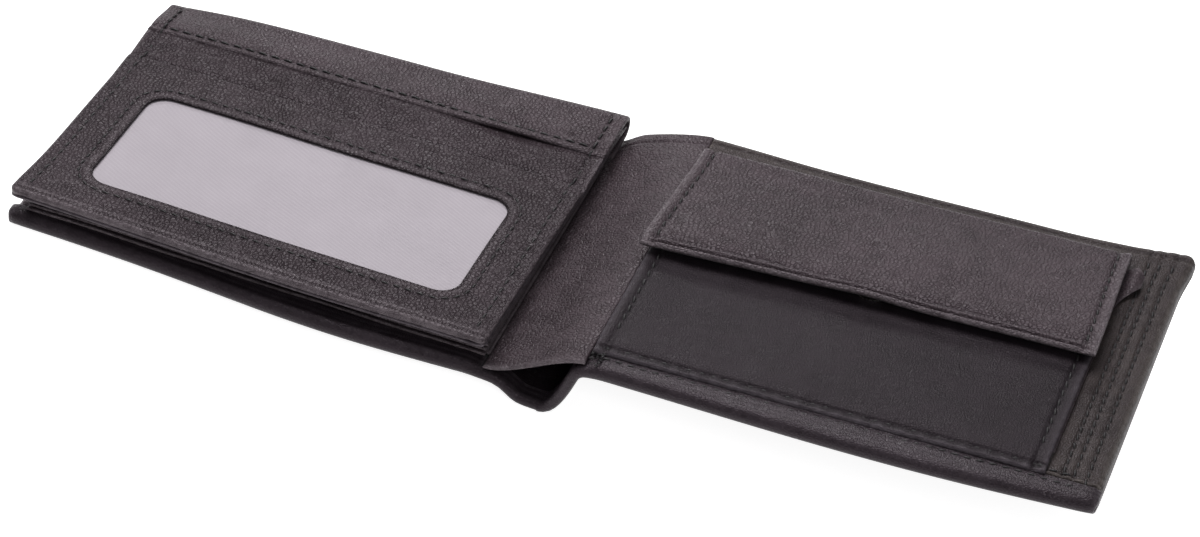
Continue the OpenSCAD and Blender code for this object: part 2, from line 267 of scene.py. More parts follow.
def attach(piece, place, node):
    """The piece moves with the body of its place and stands for a CAD node."""
    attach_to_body(piece, BODIES[place])
    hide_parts(node)


def slab(name, centre, half, material, relief=0.0, wear_light_shade=0.0, closed=False, flip=False):
    """A closed skin round a grid of centre points. half is half its thickness, 0 on the grid's
    rim, and relief raises its upper side. A closed grid joins its last column to its first."""
    m, n = centre.shape[:2]
    if closed:
        across = np.roll(centre, -1, 1) - np.roll(centre, 1, 1)
    else:
        across = np.gradient(centre, axis=1)
    normal = np.cross(np.gradient(centre, axis=0), across)
    normal /= np.maximum(np.linalg.norm(normal, axis=2, keepdims=True), 1e-9)
    if flip:
        normal = -normal
    half = np.broadcast_to(half, (m, n))
    relief = relief * smooth(half / half.max(), 0.0, 0.9)
    top = centre + normal * (half + relief)[..., None]
    bottom = centre - normal * half[..., None]
    upper = np.arange(m * n).reshape(m, n)
    lower = upper + m * n
    lower[[0, -1]] = upper[[0, -1]]
    if not closed:
        lower[:, [0, -1]] = upper[:, [0, -1]]
    j = np.arange(n if closed else n - 1)
    k = (j + 1) % n

    def quads(grid, turn):
        corners = [grid[:-1, j], grid[1:, j], grid[1:, k], grid[:-1, k]]
        return np.stack(corners[::-1] if turn else corners, -1).reshape(-1, 4)

    shade = np.broadcast_to(wear_light_shade, (m, n)).ravel()
    points = np.concatenate([top.reshape(-1, 3), bottom.reshape(-1, 3)])
    faces = [quads(upper, flip), quads(lower, not flip)]
    return make_piece(name, points, faces, material, np.concatenate([shade, shade]))


def round_corners(u, v, low, high, radius, which):
    """Moves grid points so that the chosen corners, as (u side, v side) signs, are round."""
    u, v = u.copy(), v.copy()
    for side_u, side_v in which:
        corner_u = high[0] if side_u > 0 else low[0]
        corner_v = high[1] if side_v > 0 else low[1]
        inner_u, inner_v = corner_u - side_u * radius, corner_v - side_v * radius
        a = np.clip((u - inner_u) * side_u / radius, 0, 1)
        b = np.clip((v - inner_v) * side_v / radius, 0, 1)
        inside = (a > 0) & (b > 0)
        u = np.where(inside, inner_u + side_u * radius * a * np.sqrt(1 - b * b / 2), u)
        v = np.where(inside, inner_v + side_v * radius * b * np.sqrt(1 - a * a / 2), v)
    return u, v


def edge_wear(distance):
    return 0.55 * bell(distance - 0.15, 0.45)


def relief_highlight_shade(relief):
    """Raised leather is rubbed light and gets painted highlight; grooves get painted shade."""
    return np.clip(relief, 0, 1) + 1.2 * np.clip(relief, -1, 0)


def panel(
    name, node, place, low, high, level, thickness, material,
    step=2.0, radius=0.0, corners=(), marks_u=(), marks_v=(), shape=None, lift=None,
):
    """A flat sheet between two (u, v) corners. shape gives its relief, lift raises it."""
    edge = 0.55 * thickness
    us = lines(low[0], high[0], step, edge, marks_u)
    vs = lines(low[1], high[1], step, edge, marks_v)
    u, v = np.meshgrid(us, vs, indexing="ij")
    distance = from_rim(u, v, low, high)
    relief = shape(u, v) if shape else np.zeros_like(u)
    height = level + thickness / 2 + (lift(u, v) if lift else 0)
    if corners:
        u, v = round_corners(u, v, low, high, radius, corners)
    half = thickness / 2 * rounded(distance, edge)
    # Edge wear, with painted highlight on ridges and painted shade in grooves and seams.
    wear_light_shade = edge_wear(distance) + relief_highlight_shade(relief)
    flip = place in (left.place, window_place)
    piece = slab(name, place(u, v, height), half, material, relief, wear_light_shade, flip=flip)
    attach(piece, place, node)
    return piece


def cloth(name, node, place, low, high, level, thickness, material, under, **options):
    """A cloth panel, made as a flat sheet like the leather panels. under, the piece beneath it, is not used."""
    piece = panel(name, node, place, low, high, level, thickness, material, **options)


def resample(path, step):
    """Points at an even distance along a polyline, and the unit directions there."""
    path = np.array(path, float)
    run = run_along(path)
    count = max(1, int(run[-1] / step))
    at = (np.arange(count) + 0.5) * run[-1] / count

    def points(where):
        return np.stack([np.interp(where, run, values) for values in path.T], 1)

    direction = points(at + 0.1) - points(at - 0.1)
    return points(at), direction / np.linalg.norm(direction, axis=1, keepdims=True)


def stitches(name, node, place, paths, level, pitch=STITCH_PITCH, radius=STITCH_RADIUS):
    """Rows of single stitches. Each is a short thread that dips into the leather at both ends."""
    reach = np.array([-1.0, -0.7, 0.0, 0.7, 1.0])
    rise = np.array([-1.3, 0.15, 0.75, 0.15, -1.3])
    girth = np.array([0.5, 0.95, 1.05, 0.95, 0.5])
    turns = np.radians(np.arange(0, 360, 60))
    points, count = [], 0
    for path in paths:
        spots, direction = resample(path, pitch)
        half = STITCH_LENGTH / STITCH_PITCH * pitch / 2
        slant = np.stack([-direction[:, 1], direction[:, 0]], 1) * 0.12
        uv = spots[:, None] + (direction + slant)[:, None] * (reach * half)[None, :, None]
        h = level(uv[..., 0], uv[..., 1]) + rise * radius
        centre = place(uv[..., 0], uv[..., 1], h)
        up = place(uv[..., 0], uv[..., 1], h + 1) - centre
        along = np.gradient(centre, axis=1)
        side = np.cross(along, up)
        side /= np.linalg.norm(side, axis=2, keepdims=True)
        ring = np.cos(turns)[:, None] * side[:, :, None] + np.sin(turns)[:, None] * up[:, :, None]
        points.append((centre[:, :, None] + ring * (girth * radius)[None, :, None, None]))
        count += len(spots)
    points = np.concatenate(points).reshape(-1, 3)
    size = len(reach) * len(turns)
    i, j = np.meshgrid(np.arange(len(reach) - 1), np.arange(len(turns)), indexing="ij")
    k = (j + 1) % len(turns)
    wide = len(turns)
    wall = np.stack([i * wide + j, i * wide + k, (i + 1) * wide + k, (i + 1) * wide + j], -1)
    ends = np.array([np.arange(wide)[::-1], size - wide + np.arange(wide)])
    starts = size * np.arange(count)[:, None]
    walls = (wall.reshape(1, -1) + starts).reshape(-1, 4)
    caps = (ends.reshape(1, -1) + starts).reshape(-1, wide)
    attach(make_piece(name, points, [walls, caps], THREAD), place, node)


# ---------------- materials


class Shader:
    """A node material with a Principled surface, made node by node."""

    def __init__(self, name, finish):
        self.material = bpy.data.materials.new(name)
        self.material.use_nodes = True
        self.tree = self.material.node_tree
        self.surface = self.tree.nodes["Principled BSDF"]
        for socket, value in finish.items():
            self.surface.inputs[socket].default_value = value
        self.where = self.add("ShaderNodeTexCoord").outputs["Object"]

    def add(self, kind, inputs=None, **settings):
        node = self.tree.nodes.new(kind)
        for name, value in settings.items():
            setattr(node, name, value)
        for name, value in (inputs or {}).items():
            if isinstance(value, bpy.types.NodeSocket):
                self.tree.links.new(value, node.inputs[name])
            else:
                node.inputs[name].default_value = value
        return node

    def stretched(self, x, y, z, turn=0.0):
        inputs = {"Vector": self.where, "Scale": (x, y, z), "Rotation": (0, 0, turn)}
        return self.add("ShaderNodeMapping", inputs).outputs[0]

    def noise(self, size, detail=3.0, where=None):
        """Cloudy noise whose features are about size millimetres wide."""
        inputs = {"Vector": where or self.where, "Scale": 1 / (size * MM), "Detail": detail}
        return self.add("ShaderNodeTexNoise", inputs).outputs["Fac"]

    def scaled(self, value, low, high, new_low=0.0, new_high=1.0):
        inputs = {"Value": value, "From Min": low, "From Max": high}
        inputs.update({"To Min": new_low, "To Max": new_high})
        return self.add("ShaderNodeMapRange", inputs).outputs[0]

    def mix(self, share, a, b):
        node = self.add("ShaderNodeMix", {0: share, 6: a, 7: b}, data_type="RGBA")
        return node.outputs[2]

    def maths(self, operation, a, b=0.0):
        return self.add("ShaderNodeMath", {0: a, 1: b}, operation=operation).outputs[0]

    def bump(self, height, distance, strength, under=None):
        inputs = {"Height": height, "Distance": distance * MM, "Strength": strength}
        if under:
            inputs["Normal"] = under
        return self.add("ShaderNodeBump", inputs).outputs[0]

    def finish(self, colour, roughness=None, normal=None):
        self.tree.links.new(colour, self.surface.inputs["Base Color"])
        if roughness:
            self.tree.links.new(roughness, self.surface.inputs["Roughness"])
        if normal:
            self.tree.links.new(normal, self.surface.inputs["Normal"])
        return self.material


def grey(red, green, blue):
    return (red, green, blue, 1.0)


def leather(name, dark, light, edge, rough, cell, grain, creases, gloss):
    """Grained leather: fine pebbles, finer pores, soft creases, worn edges, painted highlight on ridges and
    painted shade in grooves.
    """
    s = Shader(name, {"Specular IOR Level": gloss, "Specular Tint": grey(1.0, 0.86, 0.95)})
    clouds = s.noise(30, 4)
    mottle = s.noise(5, 3)
    pebbles = s.add(
        "ShaderNodeTexVoronoi",
        {"Vector": s.where, "Scale": 1 / (cell * MM), "Randomness": 0.9},
        feature="DISTANCE_TO_EDGE",
    ).outputs["Distance"]
    pebble = s.scaled(pebbles, 0.0, 0.22)
    pores = s.noise(cell * 0.45, 2)
    pulled = s.noise(1.0, 4, s.stretched(0.07, 0.3, 0.2, 0.5))
    tone = s.scaled(s.maths("ADD", clouds, mottle), 0.75, 1.25)
    body = s.mix(tone, grey(*dark), grey(*light))
    body = s.mix(s.scaled(pebble, 0.0, 1.0, 0.3, 0.0), body, grey(*(0.35 * c for c in dark)))
    wear_light_shade_fac = s.add("ShaderNodeAttribute", attribute_name="wear_light_shade").outputs["Fac"]
    # rub mixes in the edge colour, the light tone for rubbed edges and for painted highlight on ridges and folds.
    rub = s.maths("MULTIPLY", wear_light_shade_fac, s.scaled(s.noise(1.6, 3), 0.3, 0.65, 0.35, 1.0))
    body = s.mix(rub, body, grey(*edge))
    # Negative values darken the leather towards near black: painted shade in grooves, seams and under rims.
    groove_shade = s.maths("MULTIPLY", wear_light_shade_fac, -1.0)
    body = s.mix(groove_shade, body, grey(*(0.25 * c for c in dark)))
    roughness = s.scaled(s.maths("ADD", mottle, pores), 0.7, 1.3, rough - 0.07, rough + 0.1)
    normal = s.bump(pulled, 0.9, creases)
    normal = s.bump(pebble, 0.2, grain, normal)
    normal = s.bump(pores, 0.05, grain, normal)
    return s.finish(body, roughness, normal)


def twill(name, dark, light, pitch, rough, sheen):
    """Twill cloth: fine slanting ribs crossed by finer threads."""
    s = Shader(name, {"Sheen Weight": sheen, "Sheen Roughness": 0.5, "Specular IOR Level": 0.3})

    def ribs(turn, width):
        inputs = {"Vector": s.stretched(1, 1, 1, turn), "Scale": 0.314 / (width * MM)}
        inputs["Distortion"] = 0.15
        wave = s.add("ShaderNodeTexWave", inputs, wave_profile="SIN")
        return wave.outputs["Fac"]

    weave = s.maths("MULTIPLY", ribs(0.7, pitch), s.scaled(ribs(-0.87, pitch * 0.7), 0, 1, 0.5, 1))
    patch = s.noise(14, 3)
    tone = s.maths("ADD", s.maths("MULTIPLY", weave, 0.8), s.scaled(patch, 0.3, 0.7, 0.02, 0.14))
    colour = s.mix(tone, grey(*dark), grey(*light))
    roughness = s.scaled(patch, 0.3, 0.7, rough - 0.05, rough + 0.05)
    return s.finish(colour, roughness, s.bump(weave, 0.08, 0.6))


def waxed_thread(name):
    s = Shader(name, {"Specular IOR Level": 0.4})
    inputs = {"Vector": s.stretched(1, 1, 1, 0.6), "Scale": 1100.0, "Distortion": 1.0}
    twist = s.add("ShaderNodeTexWave", inputs).outputs["Fac"]
    colour = s.mix(twist, grey(0.006, 0.005, 0.006), grey(0.022, 0.02, 0.022))
    return s.finish(colour, s.scaled(twist, 0, 1, 0.6, 0.45), s.bump(twist, 0.06, 0.5))


def nickel(name):
    s = Shader(name, {"Metallic": 1.0})
    rub = s.noise(0.9, 5, s.stretched(1, 0.15, 1))
    colour = s.mix(rub, grey(0.3, 0.295, 0.285), grey(0.5, 0.49, 0.47))
    return s.finish(colour, s.scaled(rub, 0.3, 0.7, 0.2, 0.38), s.bump(rub, 0.02, 0.3))


def paper_floor(name):
    glow = {"Emission Color": (1, 1, 1, 1), "Emission Strength": 0.88}
    s = Shader(name, {"Specular IOR Level": 0.1, **glow})
    tooth = s.noise(3, 3)
    colour = s.mix(tooth, grey(0.6, 0.6, 0.6), grey(0.64, 0.64, 0.64))
    return s.finish(colour, s.scaled(tooth, 0, 1, 0.8, 0.9))


COVER_LEATHER = leather(
    "cover_leather", (0.011, 0.0076, 0.0099), (0.0215, 0.0155, 0.0198), (0.13, 0.112, 0.127),
    rough=0.33, cell=0.7, grain=0.35, creases=0.35, gloss=0.19,
)
INNER_LEATHER = leather(
    "inner_leather", (0.0265, 0.0186, 0.022), (0.053, 0.0392, 0.0455), (0.16, 0.138, 0.15),
    rough=0.43, cell=1.0, grain=0.75, creases=0.5, gloss=0.25,
)
# frame_leather, pocket_leather and end_leather are darker copies of the inner leather, their tone set part by part
# to how dark each part looks under the light: painted shade on the window frame and slot, the coin pocket and the
# right inner panel.
FRAME_LEATHER = leather(
    "frame_leather", (0.0185, 0.0128, 0.0155), (0.037, 0.0272, 0.032), (0.15, 0.128, 0.14),
    rough=0.4, cell=1.0, grain=0.75, creases=0.5, gloss=0.2,
)
POCKET_LEATHER = leather(
    "pocket_leather", (0.01, 0.0075, 0.0095), (0.02, 0.0155, 0.019), (0.09, 0.078, 0.09),
    rough=0.42, cell=0.65, grain=0.35, creases=0.3, gloss=0.12,
)
END_LEATHER = leather(
    "end_leather", (0.0195, 0.015, 0.0145), (0.041, 0.033, 0.031), (0.13, 0.113, 0.106),
    rough=0.42, cell=0.65, grain=0.5, creases=0.5, gloss=0.22,
)
LINING = twill("lining_cloth", (0.005, 0.005, 0.006), (0.02, 0.019, 0.021), 0.45, 0.75, 0.2)
MESH = twill("window_mesh", (0.22, 0.195, 0.22), (0.52, 0.475, 0.52), 0.45, 0.55, 0.1)
THREAD = waxed_thread("thread")
NICKEL = nickel("press_stud")


# ---------------- outer cover


def fold_curve():
    """Underside of the cover across the fold, from the left leaf's crease end to the right's."""
    drop, top = left.origin[2], right.origin[2]
    rest_low, rest_high = -4.6, 0.6
    s = np.linspace(0, 1, 25)
    start = left.origin[0] + 2.2
    down_x, down_z = start + s * (rest_low - start), drop * (1 + np.cos(np.pi * s)) / 2
    up_x, up_z = rest_high + s * (right.origin[0] - 0.6 - rest_high), top * s**2.2
    return np.stack([np.r_[down_x, up_x], np.r_[down_z, up_z]], 1)


REACH = LENGTH + 4
FOLD_STACK = 2.7
LIP = 5.0
SPACING = 0.25


def outer_line():
    """The cover's whole underside as distance, x, z and normal, softened at the creases."""
    outer_left = left.origin + REACH * left.u_dir
    outer_right = right.origin + REACH * right.u_dir
    left_end, right_end = left.origin[[0, 2]], right.origin[[0, 2]]
    corners = np.concatenate(
        [[outer_left[[0, 2]], left_end], fold_curve(), [right_end, outer_right[[0, 2]]]]
    )
    run = run_along(corners)
    at = np.arange(0, run[-1], SPACING)
    x, z = np.interp(at, run, corners[:, 0]), np.interp(at, run, corners[:, 1])
    window = bell(np.arange(-14, 15) * SPACING, 1.9)
    window /= window.sum()

    def soften(values):
        inner = np.convolve(values, window, "same")
        inner[:20], inner[-20:] = values[:20], values[-20:]
        return inner

    x, z = soften(x), soften(z)
    along = np.stack([np.gradient(x), np.gradient(z)], 1)
    along /= np.linalg.norm(along, axis=1, keepdims=True)
    distance = at - REACH
    return distance, x, z, -along[:, 1], along[:, 0]


OUTER = outer_line()
FOLD_RUN = float(OUTER[0][-1]) - REACH
BULGE = float(OUTER[0][np.argmin(np.where(np.abs(OUTER[1]) < 4, np.abs(OUTER[1]), 99))])


def on_cover(s, v, h):
    """A point h above the cover's underside. s is minus u on the left leaf, and grows to the
    right, across the fold and over the right leaf."""
    x, z, nx, nz = (np.interp(s, OUTER[0], OUTER[i]) for i in range(1, 5))
    return np.stack([x + h * nx, v, z + h * nz], -1)


def turned_section(stack, lip, spread):
    """The cover's cross section (v, h) down the middle of its leather: hem at the opening,
    underside, roll round the sewn edge and turned lip. stack is the height of the lip's top,
    spread is how far the roll stands out beyond the sewn edge."""
    t, hem, fine = COVER, 8.0, np.linspace(0, 1, 9)
    tight, wide = t / 2, (stack - t) / 2
    far_c, near_c = FAR - t / 2 - tight, NEAR - spread + t / 2 + wide
    hem_v = lines(FAR - hem, far_c, 1.6, 0.5)
    under_v = far_c - (far_c - near_c) * lines(0, 1, 0.032, 0.006)
    lip_v = near_c + (NEAR + lip - near_c) * lines(0, 1, 0.11, 0.15)
    far_turn, near_turn = np.pi * (0.5 - fine), np.pi * (1.5 - fine)
    v = [hem_v, far_c + tight * np.cos(far_turn)[1:], under_v[1:]]
    h = [0 * hem_v + t / 2 + 2 * tight, t / 2 + tight + tight * np.sin(far_turn)[1:]]
    h += [0 * under_v[1:] + t / 2]
    v += [near_c + wide * np.cos(near_turn)[1:], lip_v[1:]]
    h += [stack / 2 + wide * np.sin(near_turn)[1:], 0 * lip_v[1:] + stack - t / 2]
    return np.concatenate(v), np.concatenate(h)


def edge_spread(from_crease, on_left):
    """How far the sewn edge's roll stands out, at a share of the way from crease to outer end."""
    share = min(max(from_crease, 0.0), 1.0)
    if on_left:
        return -0.7 + 3.0 * float(bell(share - 0.32, 0.33))
    return SPREAD + 2.0 * math.sin(math.pi * share**1.3)


def cover(name, low_s, high_s, outer_end, node):
    """Half of the outer cover, from a leaf's outer end to the bulge's lowest line."""
    stations = lines(low_s, high_s, 1.8, 0.6, marks=(0, FOLD_RUN))
    joined = low_s if outer_end == high_s else high_s
    rows, heights = [], []
    for s in stations:
        flat = smooth(-s, -1, 5) if outer_end < 0 else smooth(s - FOLD_RUN, -1, 5)
        end_roll = float(rounded(abs(s - outer_end), 2.4))
        stack = FOLD_STACK + (DECK - FOLD_STACK) * float(flat) * end_roll
        from_crease = (-s if outer_end < 0 else s - FOLD_RUN) / LENGTH
        v, h = turned_section(stack, LIP, edge_spread(from_crease, outer_end < 0))
        rows.append(v)
        heights.append(h)
    v, h = np.array(rows), np.array(heights)
    s = np.broadcast_to(stations[:, None], v.shape).copy()
    steps = np.linalg.norm(np.diff(np.stack([v, h], -1), axis=1), axis=2)
    along = np.concatenate([np.zeros((len(v), 1)), np.cumsum(steps, 1)], 1)
    edge = 0.55 * COVER
    distance = np.minimum.reduce([along, along[:, -1:] - along, np.abs(s - outer_end)])
    half = COVER / 2 * rounded(distance, edge)
    cap, beside = (0, 1) if joined == low_s else (-1, -2)
    half[cap] = 0
    s[beside] = s[cap]
    on_top = (h > COVER) & (v < 0)
    wobble = 0.25 * np.sin(s / 4.1) + 0.2 * np.sin(s / 1.9 + 1)
    from_edge = v - v.min(1, keepdims=True)
    rides = 0.34 * bell(from_edge - 0.8, 0.5) + 0.4 * bell(from_edge - 2.4 - 0.5 * wobble, 0.45)
    rides += 0.38 * bell(from_edge - 4.0 - wobble * 0.6, 0.45)
    relief = np.where(on_top, rides - 0.22, 0) + 0.05 * np.sin(s * 2.2) * bell(from_edge, 3)
    # The lip's ridges are lightened as painted highlight.
    wear_light_shade = edge_wear(distance) + np.where(on_top, 0.5 * rides, 0)
    side = -1 if outer_end < 0 else 1
    low_corner = (low_s, NEAR - edge_spread(1.0, outer_end < 0))
    high_corner = (high_s, FAR)
    s, v = round_corners(s, v, low_corner, high_corner, CORNER, [(side, -1), (side, 1)])
    if outer_end > 0:
        pulled = right.flick * corner(s - FOLD_RUN, v)
        s, h = s + pulled, h + pulled
    centre = on_cover(s, v, h)
    piece = slab(name, centre, half, COVER_LEATHER, relief, wear_light_shade, flip=True)
    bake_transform(piece)
    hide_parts(*node)


def fold_lining():
    """The leather strip that spans the fold, in two halves that meet halfway."""
    t = COVER
    level = DECK - t / 2
    a, b = left.place(0.35, 0.0, level)[[0, 2]], right.place(0.35, 0.0, level)[[0, 2]]
    s = np.linspace(0, 1, 61)[:, None]
    pull = 9.0
    ta, tb = -left.u_dir[[0, 2]] * pull, right.u_dir[[0, 2]] * pull
    basis = [2 * s**3 - 3 * s**2 + 1, s**3 - 2 * s**2 + s, -2 * s**3 + 3 * s**2, s**3 - s**2]
    curve = basis[0] * a + basis[1] * ta * 2.4 + basis[2] * b + basis[3] * tb * 2.4
    run = run_along(curve)
    edge = 0.55 * t
    vs = lines(NEAR + 0.3, FAR - 0.6, 1.8, edge, marks=(FAR - 4.2,))
    for name, low, high, bodies, turn in (
        ("fold_lining_left", 0, run[-1] / 2, ("left_leaf", "fold"), (-14.8, -8)),
        ("fold_lining_right", run[-1] / 2, run[-1], ("fold", "right_leaf"), (2.5, 9.5)),
    ):
        spots = lines(low, high, 0.7, edge)
        cap, beside = (-1, -2) if low == 0 else (0, 1)
        spots[beside] = spots[cap]
        at, v = np.meshgrid(spots, vs, indexing="ij")
        x, z = np.interp(at, run, curve[:, 0]), np.interp(at, run, curve[:, 1])
        outer = np.abs(at - (0 if low == 0 else high))
        side = np.minimum(v - vs[0], vs[-1] - v)
        distance = np.minimum(outer, side)
        half = t / 2 * rounded(distance, edge)
        half[cap] = 0
        share = at / run[-1]
        arch = 3.0 * smooth(share, -0.08, 0.3) * (1 - smooth(share, 0.2, 1))
        arch = arch * smooth(v, FAR - 24, FAR)
        arch = arch - right.droop * 0.15 * share * smooth(v, FAR - 14, FAR)
        z = z + arch + 0.25 * ripple(3 * at, v, 5.0) * smooth(distance, 0, 4)
        relief = -0.35 * bell(v - (FAR - 4.2), 0.4) + 0.15 * bell(v - (FAR - 1.5), 0.6)
        centre = np.stack([x, v, z], -1)
        piece = slab(name, centre, half, INNER_LEATHER, relief, edge_wear(side))
        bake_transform(piece)
        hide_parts("fold_lining")


# ---------------- leaves


def cloth_lining(leaf, node, seed):
    low, high = leaf.extent(node)
    low_uv, high_uv = (low[0] + 0.4, low[1]), (high[0], high[1])

    def lift(u, v):
        return 0.15 * ripple(u, v, seed)

    cloth(
        node + "_cloth", node, leaf.place, low_uv, high_uv, low[2] + 0.05, 0.45, LINING,
        node.replace("lining", "cover"), step=3.0, radius=4.0, corners=[(1, -1), (1, 1)], lift=lift,
    )


def inner_panel(leaf, node, material, shape, marks_u=(), marks_v=()):
    """The leaf's inner leather. At the outer end it turns down over the leaf's edge."""
    low, high = leaf.extent(node)
    t, bend = high[2] - low[2], 1.3
    edge, end = 0.55 * t, LENGTH - 0.05
    turned = end - bend + bend * np.pi / 2
    us = np.r_[lines(0.3, end - bend, 1.6, edge, marks_u), np.linspace(end - bend, turned, 9)[1:]]
    us = np.r_[us, turned + np.array([0.6, 1.2, 1.6])]
    vs = lines(low[1], high[1], 1.6, edge, marks_v)
    p, v = np.meshgrid(us, vs, indexing="ij")
    angle = np.clip((p - end + bend) / bend, 0, np.pi / 2)
    u = np.minimum(p, end - bend) + bend * np.sin(angle)
    h = high[2] - t / 2 - bend * (1 - np.cos(angle)) - np.clip(p - turned, 0, None)
    distance = from_rim(p, v, (us[0], vs[0]), (us[-1], vs[-1]))
    relief = shape(u, v) * np.cos(angle)
    # The turn over the outer end is lightened as a painted highlight; ridges get painted highlight and grooves
    # painted shade.
    wear_light_shade = edge_wear(distance) + relief_highlight_shade(relief) + 0.5 * bell(angle - 0.7, 0.4) * (angle > 0)
    half = t / 2 * rounded(distance, edge)
    u, v = round_corners(u, v, (0, vs[0]), (end, vs[-1]), CORNER - 0.6, [(1, -1), (1, 1)])
    centre = leaf.place(u, v, h)
    flip = leaf is left
    name = node + "_leather"
    piece = slab(name, centre, half, material, relief, wear_light_shade, flip=flip)
    attach(piece, leaf.place, node)


def left_panel_shape(u, v):
    """A faint ridge along the far edge."""
    return 0.1 * bell(FAR - 3.0 - v, 0.6)


SLOT_RECESS = 3.2


def card_slots():
    """Three overlapping card slots. Their sewn edges show under the window leaf."""
    for seed, node in enumerate(("card_slot_back", "card_slot_middle", "card_slot_front")):
        low, high = left.extent(node)
        low[1] += SLOT_RECESS * (0.4 + 0.3 * seed)

        def wavy(u, v, k=seed, top=high[1]):
            bow = 0.35 * bell(u - 55 - 6 * k, 38) * smooth(v, top - 9, top)
            return bow + 0.12 * np.sin(u / (5 + 2 * k) + k) * bell(v - NEAR, 9)

        def shape(u, v, top=high[1], near=low[1]):
            # Through the relief, the mouth's ridge gets painted highlight and the stitched line behind it painted
            # shade.
            mouth = 0.28 * bell(top - v - 0.8, 0.5) - 0.3 * bell(top - v - 2.4, 0.5)
            return mouth - 0.1 * bell(v - near - 1.2, 0.5)

        panel(
            node + "_leather", node, left.place, low[:2], high[:2], low[2], high[2] - low[2],
            INNER_LEATHER, step=1.8,
            marks_v=(high[1] - 0.8, high[1] - 2.4, low[1] + 1.2),
            shape=shape, lift=wavy, radius=1.0, corners=[(1, 1), (-1, 1)],
        )


def left_threads():
    low, high = left.extent("left_seam_thread")
    outer_u = high[0] - 0.3
    near_v = left.extent("card_slot_front")[0][1] + SLOT_RECESS + 1.4
    row = [(low[0], near_v), (outer_u - 3, near_v), (outer_u, near_v + 3), (outer_u, high[1])]
    stitches("left_seam_stitches", "left_seam_thread", left.place, [row], flat_at(low[2]))


# ---------------- window leaf


def loop_points(half_u, half_v, radius, sides, arc_steps):
    """A rounded rectangle about the origin, with the same count of points at every size."""
    turns = np.linspace(0, np.pi / 2, arc_steps + 1)
    points = []
    for side, (su, sv) in enumerate(((1, 1), (-1, 1), (-1, -1), (1, -1))):
        angle = turns + side * np.pi / 2
        centre = np.array([su * (half_u - radius), sv * (half_v - radius)])
        arc = centre + radius * np.stack([np.cos(angle), np.sin(angle)], 1)
        nu, nv = ((-1, 1), (-1, -1), (1, -1), (1, 1))[side]
        after = np.array([nu * (half_u - radius), nv * (half_v - radius)])
        following = after + radius * np.array([math.cos(angle[-1]), math.sin(angle[-1])])
        share = np.linspace(0, 1, sides[side % 2] + 1)[1:-1, None]
        points += [arc, arc[-1] + share * (following - arc[-1])]
    return np.concatenate(points)


window_low, window_high = left.extent("window_frame")
hole_low, hole_high = left.extent("window_mesh")
MESH_MARGIN = 3.0
MESH_SEWN_IN = 2.7
MOUTH = left.extent("window_leaf_slot")[1][1]
STEP_EDGE = window_high[1]
HEM = 2.6
RIM = 0.3
SIDE_SEAM = 3.5
WINDOW_RADIUS = 5
WINDOW_SEAM = 3.2
FRAME_TOP = window_high[2] - RIM
hole = (hole_low[0] + MESH_MARGIN, hole_high[0] - MESH_MARGIN, hole_low[1] + MESH_MARGIN)
HOLE_HEIGHT = 38.0
hole_centre = np.array([(hole[0] + hole[1]) / 2, hole[2] + HOLE_HEIGHT / 2])
hole_half = np.array([(hole[1] - hole[0]) / 2, HOLE_HEIGHT / 2])


